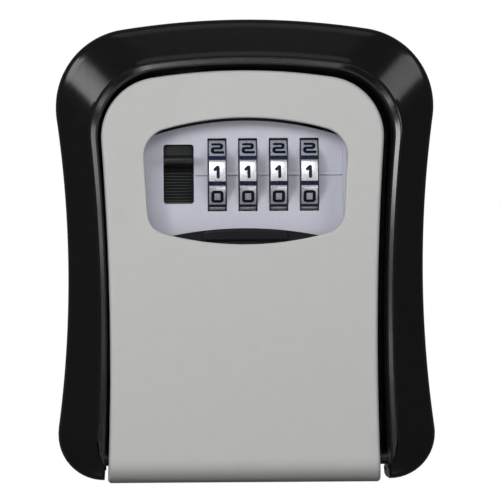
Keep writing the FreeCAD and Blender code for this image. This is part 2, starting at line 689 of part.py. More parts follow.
def reset_lever():
    """Lever that frees the code sleeves, with its knob through the back of the cover."""
    back = COVER_BACK_Y - COVER_T - 0.2
    tip = COVER_BACK_Y + 1.6
    plate = box(-2.0, 16.0, back - 1.2, back, 24.0, 30.0)
    knob = box(4.0, 8.4, back, tip, 25.6, 28.4)
    knob = knob.makeFillet(0.6, [e for e in knob.Edges if e.CenterOfMass.y > tip - 0.1])
    return plate.fuse(knob)


def shutter():
    """Sliding cover for the window, with a finger grip at its top edge."""
    y0, y1 = SHUTTER_Y
    body = top_arch(SHUTTER_TOP_Z, SHUTTER_TOP_R, y0, y1, SHUTTER_HALF, SHUTTER_FOOT_Z,
                    SHUTTER_X)
    grip = top_arch(5.4, SHUTTER_TOP_R, y0 - GRIP_RISE, y0, 10.45, 2.75, -0.25)
    ends = [e for e in grip.Edges if abs(e.Length - GRIP_RISE) < 1e-6 and e.CenterOfMass.z > 4]
    grip = grip.makeFillet(1.2, ends)
    face = [e for e in grip.Edges if abs(e.CenterOfMass.y - (y0 - GRIP_RISE)) < 1e-3]
    return body.fuse(grip.makeFillet(0.35, face))


def shutter_track():
    """Back plate of the shutter's pocket, with side rails and a stop."""
    y0, y1 = TRACK_Y
    body = box(-27.9, 27.9, y0, y1, -31.0, 0.0)
    for x, z in both_sides(TRACK_SCREWS):
        x0, x1 = sorted(math.copysign(edge, x) for edge in (27.0, 30.9))
        body = body.fuse(box(x0, x1, y0, y1, z - 2.4, z + 2.4))
        body = body.cut(rod_y(y0, y1, 1.1, x, z))
    rail = box(27.0, 27.9, y0 - 1.6, y0, -31.0, 0.0)
    stop = box(-27.0, 27.0, y0 - 1.4, y0, -31.0, -29.2)
    return body.fuse(rail).fuse(flipped(rail)).fuse(stop)


save("rear_housing", rear_housing())
save("surround_frame", surround_frame())
save("weather_seal", weather_seal())
save("frame_screws", *[screw(x, z, -1.6, -12.0) for x, z in both_sides(FRAME_SCREWS)])
save("strike_plate", strike_plate())
save("strike_rivets", *[strike_rivet(x) for x in RIVET_X])
save("hinge_pin", hinge_rod(-EAR_X1 + 0.1, EAR_X1 - 0.1, PIN_R))

save("door_shell", door_shell())
save("dial_panel", dial_panel())
save("lock_cover", lock_cover())
save("cover_screws", *[screw(x, z, PANEL_BACK_Y + 1.6, -36.0)
                       for x, z in both_sides(COVER_SCREWS)])
save("shutter_track", shutter_track())
save("track_screws", *[screw(x, z, TRACK_Y[1], -37.2, 1.4, 1.0, 0.95)
                       for x, z in both_sides(TRACK_SCREWS)])
save("dial_shaft", dial_shaft())
save("shaft_clips", *[shaft_clip(x) for x in CLIPS_X])
save("dial_spacers", *dial_spacers())
save("detent_spring", detent_spring())
save("latch_spring", latch_spring())

for number in range(DIALS):
    save(f"dial_wheel_{number + 1}", dial_wheel(number))
    save(f"digit_plates_{number + 1}", *digit_plates(number))
    save(f"code_sleeve_{number + 1}", code_sleeve(number))

save("open_slider", open_slider())
save("latch_bolt", latch_bolt())
save("gate_fence", gate_fence())
save("slider_screws", screw(*SLIDER_SCREWS[0], FENCE_FOOT_BACK_Y, -30.0, 1.8, 0.9, 0.9),
     screw(*SLIDER_SCREWS[1], BOLT_BACK_Y, -30.0, 1.8, 0.9, 0.9))
save("reset_lever", reset_lever())
save("shutter", shutter())
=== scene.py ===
import json
import math
import bmesh
import bpy
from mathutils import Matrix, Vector


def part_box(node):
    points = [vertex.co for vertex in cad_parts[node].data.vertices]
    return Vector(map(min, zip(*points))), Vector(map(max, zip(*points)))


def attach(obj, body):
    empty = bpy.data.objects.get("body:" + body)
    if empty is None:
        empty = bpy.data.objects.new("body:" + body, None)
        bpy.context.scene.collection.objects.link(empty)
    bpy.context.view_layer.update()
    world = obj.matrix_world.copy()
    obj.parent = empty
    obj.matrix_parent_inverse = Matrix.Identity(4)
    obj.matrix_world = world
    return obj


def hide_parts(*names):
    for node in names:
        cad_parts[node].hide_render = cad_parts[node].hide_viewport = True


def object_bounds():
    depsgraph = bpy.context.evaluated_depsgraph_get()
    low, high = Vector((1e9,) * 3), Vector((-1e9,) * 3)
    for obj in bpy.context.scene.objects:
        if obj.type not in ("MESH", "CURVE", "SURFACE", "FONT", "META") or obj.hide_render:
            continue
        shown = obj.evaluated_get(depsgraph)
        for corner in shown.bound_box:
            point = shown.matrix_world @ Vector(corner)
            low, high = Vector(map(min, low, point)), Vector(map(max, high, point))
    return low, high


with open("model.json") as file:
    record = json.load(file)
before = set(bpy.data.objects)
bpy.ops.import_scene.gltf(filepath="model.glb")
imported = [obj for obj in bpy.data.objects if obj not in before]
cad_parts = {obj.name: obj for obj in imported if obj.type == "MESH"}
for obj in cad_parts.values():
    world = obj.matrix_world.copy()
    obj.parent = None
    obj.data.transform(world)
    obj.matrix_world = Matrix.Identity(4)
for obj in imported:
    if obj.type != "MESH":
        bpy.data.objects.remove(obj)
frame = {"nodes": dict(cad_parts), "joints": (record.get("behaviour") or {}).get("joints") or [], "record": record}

# The looks of a key lock box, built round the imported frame. Outlines are in millimetres,
# in the frame's axes: X to the right, the front faces -Y, Z up, the wall at y = 0.

cad_low, cad_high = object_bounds()
MM = 0.001
NODES = frame["nodes"]


# ---------------------------------------------------------------- mesh helpers

def mm_box(node):
    """Lowest and highest corner of a CAD node in millimetres."""
    low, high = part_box(node)
    return low / MM, high / MM


def finish_mesh(name, bm, sharp=32.0):
    """Turn a bmesh in millimetres into a smooth-shaded object with crisp edges."""
    bmesh.ops.remove_doubles(bm, verts=bm.verts, dist=0.002)
    bmesh.ops.recalc_face_normals(bm, faces=bm.faces)
    limit = math.radians(sharp)
    for face in bm.faces:
        face.smooth = True
    for edge in bm.edges:
        edge.smooth = len(edge.link_faces) == 2 and edge.calc_face_angle() < limit
    for vert in bm.verts:
        vert.co *= MM
    mesh = bpy.data.meshes.new(name)
    bm.to_mesh(mesh)
    bm.free()
    obj = bpy.data.objects.new(name, mesh)
    bpy.context.scene.collection.objects.link(obj)
    return obj


def skin_rows(bm, rows, closed_rows=False, closed_columns=False):
    """Quads between rows of points of equal length."""
    grid = [[bm.verts.new(p) for p in row] for row in rows]
    pairs = list(zip(grid, grid[1:]))
    if closed_rows:
        pairs.append((grid[-1], grid[0]))
    for low, high in pairs:
        count = len(low)
        for i in range(count if closed_columns else count - 1):
            j = (i + 1) % count
            bm.faces.new((low[i], low[j], high[j], high[i]))
    return grid


def place(obj, body, slot, material, *replaced):
    """Put a piece on its body, with its material, in place of CAD nodes."""
    obj.data.materials.clear()
    obj.data.materials.append(material)
    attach(obj, body)
    if replaced:
        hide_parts(*replaced)


# ---------------------------------------------------------------- materials

class Finish:
    """A Principled material whose noise layers sit in object space."""

    def __init__(self, name, color, roughness, metallic=0.0, **sockets):
        self.material = bpy.data.materials.new(name)
        self.material.use_nodes = True
        self.nodes = self.material.node_tree.nodes
        self.links = self.material.node_tree.links
        self.shader = self.nodes["Principled BSDF"]
        self.color = (*color, 1.0)
        self.roughness = roughness
        self.shader.inputs["Base Color"].default_value = self.color
        self.shader.inputs["Roughness"].default_value = roughness
        self.shader.inputs["Metallic"].default_value = metallic
        for socket, value in sockets.items():
            self.shader.inputs[socket.replace("_", " ")].default_value = value
        self.place = self.nodes.new("ShaderNodeTexCoord").outputs["Object"]
        self.normal = None

    def noise(self, scale, detail=3.0, stretch=(1.0, 1.0, 1.0)):
        """Noise with features of about 1 / scale metres."""
        mapping = self.nodes.new("ShaderNodeMapping")
        mapping.inputs["Scale"].default_value = stretch
        self.links.new(self.place, mapping.inputs["Vector"])
        texture = self.nodes.new("ShaderNodeTexNoise")
        texture.inputs["Scale"].default_value = scale
        texture.inputs["Detail"].default_value = detail
        self.links.new(mapping.outputs["Vector"], texture.inputs["Vector"])
        return texture.outputs["Fac"]

    def spread(self, source, low, high):
        """Remap the useful middle of a noise to a range."""
        remap = self.nodes.new("ShaderNodeMapRange")
        remap.inputs["From Min"].default_value = 0.3
        remap.inputs["From Max"].default_value = 0.7
        remap.inputs["To Min"].default_value = low
        remap.inputs["To Max"].default_value = high
        self.links.new(source, remap.inputs["Value"])
        return remap.outputs["Result"]

    def mottle(self, scale, amount, detail=3.0, stretch=(1.0, 1.0, 1.0)):
        """Vary the colour lighter and darker by a share."""
        mix = self.nodes.new("ShaderNodeMix")
        mix.data_type = "RGBA"
        mix.inputs[6].default_value = (*[c * (1 - amount) for c in self.color[:3]], 1.0)
        mix.inputs[7].default_value = (*[c * (1 + amount) for c in self.color[:3]], 1.0)
        self.links.new(self.spread(self.noise(scale, detail, stretch), 0.0, 1.0), mix.inputs[0])
        self.links.new(mix.outputs[2], self.shader.inputs["Base Color"])
        return self

    def patchy(self, scale, amount, detail=3.0, stretch=(1.0, 1.0, 1.0)):
        """Vary the roughness by an amount either way."""
        source = self.noise(scale, detail, stretch)
        value = self.spread(source, self.roughness - amount, self.roughness + amount)
        self.links.new(value, self.shader.inputs["Roughness"])
        return self

    def grain(self, scale, depth_mm, strength=1.0, detail=2.0, stretch=(1.0, 1.0, 1.0)):
        """Add a layer of bump."""
        bump = self.nodes.new("ShaderNodeBump")
        bump.inputs["Distance"].default_value = depth_mm * MM
        bump.inputs["Strength"].default_value = strength
        self.links.new(self.noise(scale, detail, stretch), bump.inputs["Height"])
        if self.normal:
            self.links.new(self.normal, bump.inputs["Normal"])
        self.normal = bump.outputs["Normal"]
        self.links.new(self.normal, self.shader.inputs["Normal"])
        return self


def make_materials():
    """One finish for each material slot of the record, and one for the printed digits."""
    made = {}
    made["surround"] = Finish("satin_black", (0.0052, 0.0054, 0.0060), 0.15)
    made["surround"].patchy(900, 0.02).grain(5200, 0.006, 0.35).mottle(300, 0.12)
    made["housing"] = Finish("grained_black", (0.017, 0.017, 0.018), 0.55)
    made["housing"].patchy(1500, 0.06).grain(3200, 0.03, 0.6).mottle(250, 0.15)
    made["seal"] = Finish("seal_rubber", (0.016, 0.016, 0.017), 0.40)
    made["seal"].patchy(2500, 0.08).grain(6000, 0.02, 0.5).mottle(600, 0.2)
    made["steel"] = Finish("zinc_steel", (0.60, 0.61, 0.64), 0.32, 1.0)
    made["steel"].patchy(1800, 0.08).grain(9000, 0.004, 0.5, stretch=(1, 1, 0.2))
    made["steel"].mottle(700, 0.08)
    made["dark_steel"] = Finish("coated_steel", (0.010, 0.010, 0.011), 0.45)
    made["dark_steel"].patchy(1500, 0.06).grain(5000, 0.006, 0.4).mottle(500, 0.15)
    made["door_paint"] = Finish("grey_powder_coat", (0.49, 0.487, 0.482), 0.52)
    made["door_paint"].patchy(1300, 0.04).grain(4200, 0.010, 0.30).mottle(420, 0.012)
    made["panel_plastic"] = Finish("lilac_grey_plastic", (0.535, 0.542, 0.620), 0.38)
    made["panel_plastic"].patchy(1700, 0.04).grain(6500, 0.005, 0.35).mottle(700, 0.02)
    made["mechanism_plastic"] = Finish("mechanism_black", (0.010, 0.010, 0.011), 0.5)
    made["mechanism_plastic"].patchy(1400, 0.06).grain(4200, 0.012, 0.5).mottle(300, 0.2)
    made["wheel_plastic"] = Finish("wheel_navy", (0.006, 0.012, 0.038), 0.28)
    made["wheel_plastic"].patchy(2600, 0.04).grain(7000, 0.003, 0.4).mottle(900, 0.2)
    made["digit_plate"] = Finish("silver_plate", (0.74, 0.75, 0.78), 0.30, 0.6)
    made["digit_plate"].patchy(3500, 0.05).grain(9000, 0.002, 0.4, stretch=(0.15, 1, 1))
    made["digit_plate"].mottle(5000, 0.03)
    made["digit_ink"] = Finish("navy_ink", (0.005, 0.008, 0.030), 0.45, Specular_IOR_Level=0.15)
    made["digit_ink"].patchy(5000, 0.05).grain(9000, 0.002, 0.3).mottle(4000, 0.15)
    made["sleeve_plastic"] = Finish("natural_acetal", (0.62, 0.60, 0.54), 0.42)
    made["sleeve_plastic"].patchy(1500, 0.05).grain(5000, 0.006, 0.3).mottle(600, 0.04)
    made["slider_plastic"] = Finish("slider_black", (0.011, 0.012, 0.012), 0.38,
                                    Specular_IOR_Level=0.30)
    made["slider_plastic"].patchy(2500, 0.05).grain(6500, 0.004, 0.4).mottle(1200, 0.15)
    made["shutter_plastic"] = Finish("shutter_black", (0.005, 0.005, 0.007), 0.36,
                                     Specular_IOR_Level=0.22)
    made["shutter_plastic"].patchy(2000, 0.05).grain(6000, 0.005, 0.4).mottle(900, 0.15)
    return {slot: finish.material for slot, finish in made.items()}


def dress_cad_nodes(materials):
    """Give every CAD node the finish of its material slot."""
    for part in frame["record"]["subparts"]:
        mesh = NODES[part["node"]].data
        mesh.materials.clear()
        mesh.materials.append(materials[part["material_slot"]])


# ---------------------------------------------------------------- surround

class Outline:
    """Right half of a front outline: crowned top, round shoulder, bowed-in side, round foot."""

    COUNTS = (30, 26, 44, 14)      # points along the top, the shoulder, the side and the foot

    def __init__(self, top, top_r, corner_r, waist, waist_z, side_r, foot, foot_r):
        self.values = [top, top_r, corner_r, waist, waist_z, side_r, foot, foot_r]

    def inset(self, d):
        """The outline moved inwards by d."""
        top, top_r, corner_r, waist, waist_z, side_r, foot, foot_r = self.values
        return Outline(top - d, top_r - d, corner_r - d, waist - d, waist_z, side_r + d,
                       foot + d, foot_r - d)

    def blend(self, other, t):
        """The outline a share t of the way to another."""
        return Outline(*[a + (b - a) * t for a, b in zip(self.values, other.values)])

    def shoulder(self):
        """Centre of the shoulder arc, and the angles from vertical where it starts and ends."""
        top, top_r, corner_r, waist, waist_z, side_r, _, _ = self.values
        a = Vector((0.0, top - top_r))
        b = Vector((waist + side_r, waist_z))
        ra = top_r - corner_r
        rb = side_r + corner_r
        gap = b - a
        along = (ra ** 2 - rb ** 2 + gap.length_squared) / (2 * gap.length)
        high = math.sqrt(ra ** 2 - along ** 2)
        unit = gap.normalized()
        centre = a + unit * along + Vector((-unit.y, unit.x)) * high
        start = math.atan2(centre.x - a.x, centre.y - a.y)
        end = math.atan2(b.x - centre.x, b.y - centre.y)
        return centre, start, end

    def side_x(self, z):
        """Half-width at a height."""
        waist, waist_z, side_r = self.values[3:6]
        return waist + side_r - math.sqrt(side_r ** 2 - (z - waist_z) ** 2)

    def upper(self, z_side):
        """Points of the top, the shoulder and the side down to z_side."""
        top, top_r, corner_r = self.values[:3]
        n_top, n_shoulder, n_side, _ = self.COUNTS
        centre, start, end = self.shoulder()
        points = []
        for i in range(n_top):
            turn = start * i / n_top
            points.append((top_r * math.sin(turn), top - top_r + top_r * math.cos(turn)))
        for i in range(n_shoulder):
            turn = start + (end - start) * i / n_shoulder
            points.append((centre.x + corner_r * math.sin(turn),
                           centre.y + corner_r * math.cos(turn)))
        z_start = centre.y + corner_r * math.cos(end)
        for i in range(n_side):
            z = z_start + (z_side - z_start) * i / n_side
            points.append((self.side_x(z), z))
        return points

    def wrapped(self, x_end):
        """Right half from the top to x_end, round the foot."""
        waist, waist_z, side_r, foot, foot_r = self.values[3:]
        z_f = foot + foot_r
        reach = side_r + foot_r
        x_f = waist + side_r - math.sqrt(reach ** 2 - (z_f - waist_z) ** 2)
        start = math.atan2(waist + side_r - x_f, waist_z - z_f)
        end = math.pi
        if x_f < x_end:
            end = math.pi - math.asin(min((x_end - x_f) / foot_r, 1.0))
        arc = foot_r * (end - start)
        total = arc + max(x_f - x_end, 0.0)
        points = self.upper(z_f + foot_r * math.cos(start))
        n_foot = self.COUNTS[3]
        for i in range(n_foot + 1):
            run = total * i / n_foot
            if run <= arc:
                turn = start + run / foot_r
                points.append((x_f + foot_r * math.sin(turn), z_f + foot_r * math.cos(turn)))
            else:
                points.append((x_f - (run - arc), foot))
        return points

    def open_ended(self, z_side, z_end):
        """Right half from the top down to z_end."""
        points = self.upper(z_side)
        n_foot = self.COUNTS[3]
        for i in range(n_foot + 1):
            z = z_side + (z_end - z_side) * i / n_foot
            points.append((self.side_x(z), z))
        return points


SILHOUETTE = Outline(58.1, 198.5, 19.6, 44.5, -5.6, 283.0, -57.3, 11.4)
RIDGE = Outline(48.8, 184.4, 18.1, 36.94, -17.0, 442.0, -55.4, 8.0)
THROAT = Outline(46.7, 176.0, 16.7, 34.95, -20.0, 560.0, -61.0, 1.0)
MOUTH = Outline(46.2, 175.5, 16.2, 34.5, -20.0, 560.0, -61.0, 1.0)
SHOULDER_R = 3.5
SHOULDER_DEPTH = 9.1       # depths are behind the surround's front
LEDGE_DEPTH = 6.7
LIP_DEPTH = 9.0
BEVEL_DEPTH = 0.65
WALL = 2.6
SIDE_END_Z = -45.0


def surround_rows():
    """Rows of the surround's section, from its back edge over the crest and down the throat."""
    low, high = mm_box("surround_frame")
    back_y = high.y
    front_y = low.y
    shoulder_y = front_y + SHOULDER_DEPTH
    ledge_y = front_y + LEDGE_DEPTH
    lip_y = front_y + LIP_DEPTH
    bevel_y = front_y + BEVEL_DEPTH

    outer = [(SILHOUETTE.inset(0.75), back_y), (SILHOUETTE.inset(0.55), back_y - 0.5)]
    outer += [(SILHOUETTE.inset(0.3), -4.0), (SILHOUETTE.inset(0.08), -8.0)]
    outer += [(SILHOUETTE, -12.0), (SILHOUETTE, -20.0), (SILHOUETTE, shoulder_y)]
    for step in range(1, 10):
        turn = math.radians(5.0 * step)
        outline = SILHOUETTE.inset(SHOULDER_R * (1 - math.cos(turn)))
        outer.append((outline, shoulder_y - SHOULDER_R * math.sin(turn)))
    slope_top = outer[-1]
    slope_end = (RIDGE.inset(-0.12), front_y + 0.42)
    for step in range(1, 8):
        t = step / 7
        y = slope_top[1] + (slope_end[1] - slope_top[1]) * t
        outer.append((slope_top[0].blend(slope_end[0], t), y))
    for inset, rise in ((0.03, 0.22), (0.16, 0.09), (0.33, 0.01), (0.45, 0.0)):
        outer.append((RIDGE.inset(inset), front_y + rise))

    crest = RIDGE.inset(0.6)
    crest.values[6:] = THROAT.values[6:]

    def inside(y):
        """Outline of the opening at a depth."""
        if y < bevel_y:
            return crest.blend(THROAT, (y - front_y) / (bevel_y - front_y))
        return THROAT if y < ledge_y else MOUTH

    depths = [y for _, y in outer if y < lip_y]
    rows = []
    foot_at = {}
    for outline, y in outer:
        foot_z = outline.values[6]
        points = outline.wrapped(inside(min(y, lip_y)).side_x(foot_z))
        foot_at[y] = points[-1][1]
        rows.append([(x, y, z) for x, z in points])

    previous = None
    for y in reversed(depths):
        outline = inside(y)
        if previous is THROAT and outline is MOUTH:
            points = THROAT.open_ended(SIDE_END_Z, foot_at[y])
            rows.append([(x, y, z) for x, z in points])
        points = outline.open_ended(SIDE_END_Z, foot_at[y])
        rows.append([(x, y, z) for x, z in points])
        previous = outline

    hollow = SILHOUETTE.inset(WALL)
    hollow.values[6] = mm_box("rear_housing")[0].z - 0.2
    for y in (lip_y, -20.0, -12.0, -8.0, -4.0, back_y):
        end = MOUTH.side_x(hollow.values[6])
        rows.append([(x, y, z) for x, z in hollow.wrapped(end)])
    return rows


def build_surround(material):
    """Moulded surround: one skin swept from arm to arm, with its feet closed."""
    bm = bmesh.new()
    for side in (1, -1):
        rows = [[(side * x, y, z) for x, y, z in row] for row in surround_rows()]
        grid = skin_rows(bm, rows, closed_rows=True)
        ends = [row[-1] for row in grid]
        bmesh.ops.contextual_create(bm, geom=ends)
    obj = finish_mesh("surround_shell", bm, 19.0)
    place(obj, "housing", "surround", material, "surround_frame")


def build_seal(material):
    """Rubber strip in the throat: a foot against the wall and a round lip towards the door."""
    low, high = mm_box("weather_seal")
    profile = [(0.04, high.y), (0.04, low.y + 0.5), (0.10, low.y + 0.2)]
    for step in range(9):
        turn = math.radians(-150.0 + 30.0 * step)
        profile.append((0.30 + 0.15 * math.cos(turn + math.pi),
                        low.y + 0.17 + 0.15 * math.sin(turn + math.pi / 2)))
    profile += [(0.40, low.y + 0.6), (0.48, high.y)]
    bm = bmesh.new()
    rows = []
    for inset, y in profile:
        half = THROAT.inset(inset).open_ended(-42.0, low.z)
        mirror = [(-x, z) for x, z in reversed(half[1:])]
        rows.append([(x, y, z) for x, z in mirror + half])
    grid = skin_rows(bm, rows, closed_rows=True)
    for end in (0, -1):
        bmesh.ops.contextual_create(bm, geom=[row[end] for row in grid])
    obj = finish_mesh("seal_lip", bm, 40.0)
    place(obj, "housing", "seal", material, "weather_seal")


# ---------------------------------------------------------------- dials

DIGIT_W = 3.1
DIGIT_H = 3.5
STROKE = 0.80
STROKE_BEND_R = 0.46
SHARP_BEND_R = 0.1         # of strokes with a single bend
BEND_STEPS = 6
INK = 0.04                 # height of the digits over their plate
DIGIT_DROP = 0.42          # digits sit this far below the middle of their plate
PLATE_ROLL_START = 1.95    # above this the plate's top edge is rolled back
PLATE_ROLL_R = 1.6
PLATE_CROWN_R = 20.0
PLATE_R = 10.35            # from the dial's axis to a plate's face
PLATE_HALF_H = 2.74
PLATE_THICK = 0.34
PLATE_STEPS = 22
FACET_TILT = 6.1           # digit 1 faces this many degrees above the front
FACET_TURN = 36.0


def plate_rise(v):
    """Height of a plate's face over its CAD face, at a height v on the plate."""
    rise = -v * v / (2 * PLATE_CROWN_R)
    if v > PLATE_ROLL_START:
        run = v - PLATE_ROLL_START
        rise -= PLATE_ROLL_R - math.sqrt(PLATE_ROLL_R ** 2 - run ** 2)
    return rise


class Facet:
    """Coordinates on a flat of a dial: u across, v up the flat, w outwards."""

    def __init__(self, middle, axis, digit):
        turn = math.radians(FACET_TILT + (digit - 1) * FACET_TURN)
        self.origin = Vector((middle, axis.y, axis.z))
        self.out = Vector((0.0, -math.cos(turn), math.sin(turn)))
        self.up = Vector((0.0, math.sin(turn), math.cos(turn)))

    def point(self, u, v, w):
        """A point on the flat in the frame's axes."""
        return self.origin + Vector((u, 0.0, 0.0)) + self.up * v + self.out * w


def build_plates(number, axis, material):
    """Ten satin plates with a crowned face, a rolled top edge and softened sides."""
    low, high = mm_box(f"digit_plates_{number}")
    middle = (low.x + high.x) / 2
    half_w = (high.x - low.x) / 2
    edge = ((0.0, -PLATE_THICK), (0.0, -0.08), (0.03, -0.02), (0.1, 0.0))
    across = [(-half_w + run, drop) for run, drop in edge]
    across += [(half_w - run, drop) for run, drop in reversed(edge)]
    bm = bmesh.new()
    for digit in range(10):
        facet = Facet(middle, axis, digit)
        rows = []
        for i in range(PLATE_STEPS + 1):
            v = -PLATE_HALF_H + 2 * PLATE_HALF_H * i / PLATE_STEPS
            rise = PLATE_R + plate_rise(v)
            rows.append([facet.point(u, v, rise + w) for u, w in across])
        foot = [facet.point(u, -PLATE_HALF_H, PLATE_R - PLATE_THICK) for u, _ in across]
        rows.insert(0, foot)
        skin_rows(bm, rows)
    obj = finish_mesh(f"silver_plates_{number}", bm, 60.0)
    place(obj, f"dial_{number}", "digit_plate", material, f"digit_plates_{number}")


def rounded_path(corners, radius, closed=False):
    """Centreline with its corners rounded by arcs."""
    count = len(corners)
    path = []
    for i, corner in enumerate(corners):
        here = Vector(corner)
        if not closed and i in (0, count - 1):
            path.append(here)
            continue
        before = (Vector(corners[i - 1]) - here).normalized()
        after = (Vector(corners[(i + 1) % count]) - here).normalized()
        half = before.angle(after) / 2
        cut = radius / math.tan(half)
        centre = here + (before + after).normalized() * (radius / math.sin(half))
        start = here + before * cut - centre
        end = here + after * cut - centre
        sweep = start.angle_signed(end)
        for step in range(BEND_STEPS + 1):
            turn = -sweep * step / BEND_STEPS
            x = start.x * math.cos(turn) - start.y * math.sin(turn)
            y = start.x * math.sin(turn) + start.y * math.cos(turn)
            path.append(centre + Vector((x, y)))
    return path


def digit_strokes(digit):
    """Strokes of a square-shouldered digit as (corners, closed)."""
    right = DIGIT_W / 2 - STROKE / 2
    top = DIGIT_H / 2 - STROKE / 2
    left = -right
    foot = -top
    inner = right - STROKE / 2
    strokes = {
        0: [([(left, foot), (right, foot), (right, top), (left, top)], True)],
        1: [([(0.2, foot), (0.2, top + 0.05), (-0.70, top - 0.80)], False)],
        2: [([(left, top), (right, top), (right, 0), (left, 0), (left, foot),
              (right + STROKE / 2, foot)], False)],
        3: [([(left, top), (right, top), (right, foot), (left, foot)], False),
            ([(left + 0.5, 0), (inner, 0)], False)],
        4: [([(left, top + STROKE / 2), (left, -0.45), (inner, -0.45)], False),
            ([(right, top + STROKE / 2), (right, foot - STROKE / 2)], False)],
        5: [([(right, top), (left, top), (left, 0), (right, 0), (right, foot),
              (left - STROKE / 2, foot)], False)],
        6: [([(right, top), (left, top), (left, foot), (right, foot), (right, 0),
              (-inner, 0)], False)],
        7: [([(left - STROKE / 2, top), (right, top), (right, foot - STROKE / 2)], False)],
        8: [([(left, foot), (right, foot), (right, top), (left, top)], True),
            ([(-inner, 0), (inner, 0)], False)],
        9: [([(left, foot), (right, foot), (right, top), (left, top), (left, 0),
              (inner, 0)], False)],
    }
    return strokes[digit]


def stroke_edges(path, closed):
    """Left and right edge of a stroke, mitred at its bends."""
    left = []
    right = []
    count = len(path)
    for i, p in enumerate(path):
        before = path[i - 1] if closed or i > 0 else p
        after = path[(i + 1) % count] if closed or i < count - 1 else p
        along = (after - before).normalized()
        side = Vector((-along.y, along.x)) * (STROKE / 2)
        left.append(p + side)
        right.append(p - side)
    return left, right


def round_caps(path, left, right):
    """Extend both ends of a stroke by a short rounded cap."""
    for end, inner in ((0, 1), (-1, -2)):
        along = (path[end] - path[inner]).normalized()
        a, b = left[end], right[end]
        caps = []
        for reach, share in ((0.12, 0.9), (0.2, 0.6), (0.25, 0.25)):
            middle = (a + b) / 2 + along * reach
            caps.append((middle + (a - b) / 2 * share, middle + (b - a) / 2 * share))
        if end == 0:
            left[:0] = [p for p, _ in reversed(caps)]
            right[:0] = [q for _, q in reversed(caps)]
        else:
            left += [p for p, _ in caps]
            right += [q for _, q in caps]
    return left, right


def add_stroke(bm, corners, closed, to_space):
    """One raised stroke: a strip with a top, a bottom and walls."""
    radius = SHARP_BEND_R if len(corners) == 3 and not closed else STROKE_BEND_R
    path = rounded_path(corners, radius, closed)
    left, right = stroke_edges(path, closed)
    if not closed:
        left, right = round_caps(path, left, right)
    rings = []
    for a, b in zip(left, right):
        rings.append([to_space(a.x, a.y, 0.0), to_space(a.x, a.y, INK),
                      to_space(b.x, b.y, INK), to_space(b.x, b.y, 0.0)])
    grid = skin_rows(bm, rings, closed_rows=closed, closed_columns=True)
    if not closed:
        bm.faces.new(grid[0])
        bm.faces.new(grid[-1])


def build_digits(number, axis, material):
    """The ten digits of one dial, each on its plate."""
    low, high = mm_box(f"digit_plates_{number}")
    middle = (low.x + high.x) / 2
    bm = bmesh.new()
    for digit in range(10):
        facet = Facet(middle, axis, digit)

        def to_space(u, v, w):
            v -= DIGIT_DROP
            return facet.point(u, v, PLATE_R + plate_rise(v) + w)

        for corners, closed in digit_strokes(digit):
            add_stroke(bm, corners, closed, to_space)
    obj = finish_mesh(f"digits_{number}", bm, 50.0)
    place(obj, f"dial_{number}", "digit_plate", material)


def build_dials(materials):
    """Plates and digits of every dial."""
    for joint in frame["joints"]:
        if joint.get("continuous"):
            number = int(joint["child"].split("_")[1])
            axis = Vector(joint["pos_m"]) / MM
            build_plates(number, axis, materials["digit_plate"])
            build_digits(number, axis, materials["digit_ink"])


# ---------------------------------------------------------------- slider

RIB_PITCH = 0.75
RIB_DEPTH = 0.28
RIB_TOP = 19.9             # heights are along Z in the frame
RIB_END = 12.6
SLIDER_TOP = 35.4
SLIDER_FOOT = 5.6
SLIDER_HALF_W = 3.6
RIDGE_TOP = 23.7
RIDGE_FOOT = 21.7
RIDGE_R = 0.7
GROOVE_Z = 20.6


def slider_profile(front, tip):
    """Front profile of the thumb slider from the top down, as (y, z)."""
    top, foot, r = RIDGE_TOP, RIDGE_FOOT, RIDGE_R
    points = [(front, SLIDER_TOP), (front, top + 0.4), (front - 0.25, top + 0.15)]
    points.append((front - 0.6, top))
    points.append((tip + r, top - 0.05))
    for step in range(7):
        turn = math.radians(15.0 * step)
        points.append((tip + r - r * math.sin(turn), top - 0.05 - r + r * math.cos(turn)))
    for step in range(7):
        turn = math.radians(15.0 * step)
        points.append((tip + r - r * math.cos(turn), foot + 0.05 + r - r * math.sin(turn)))
    points += [(front - 0.4, foot), (front, foot - 0.15), (front + 0.1, 21.2)]
    for step in range(7):
        turn = math.radians(30.0 * step)
        points.append((front - 0.9 * math.sin(turn), GROOVE_Z + 0.42 * math.cos(turn)))
    z = RIB_TOP
    while z > RIB_END:
        for share, lift in ((0.0, 0.0), (0.2, 0.55), (0.38, 0.95), (0.55, 1.0), (0.72, 0.95),
                            (0.9, 0.5)):
            points.append((front + RIB_DEPTH * (0.6 - lift), z - RIB_PITCH * share))
        z -= RIB_PITCH
    points += [(front + 0.1, z), (front, z - 0.3), (front, SLIDER_FOOT)]
    return points


def build_slider(material):
    """Thumb slider: flange, smooth band, thumb ridge and fine ribs below it."""
    low, high = mm_box("open_slider")
    middle = (low.x + high.x) / 2
    front = high.y - 1.6
    half = SLIDER_HALF_W
    profile = slider_profile(front, low.y)
    back = high.y - 0.8
    bm = bmesh.new()
    rows = []
    for x, ease in ((-half, 0.35), (-half, 0.12), (-half + 0.05, 0.03), (-half + 0.15, 0.0),
                    (half - 0.15, 0.0), (half - 0.05, 0.03), (half, 0.12), (half, 0.35)):
        rows.append([(middle + x, min(y + ease, back - 0.3), z) for y, z in profile])
    first, last = ([(x, back, z) for x, _, z in row] for row in (rows[0], rows[-1]))
    rows = [first] + rows + [last]
    skin_rows(bm, rows, closed_rows=True)
    add_block(bm, (low.x, front + 0.35, low.z), (high.x, high.y, high.z), 0.25)
    obj = finish_mesh("thumb_slider", bm, 38.0)
    place(obj, "slider", "slider_plastic", material, "open_slider")


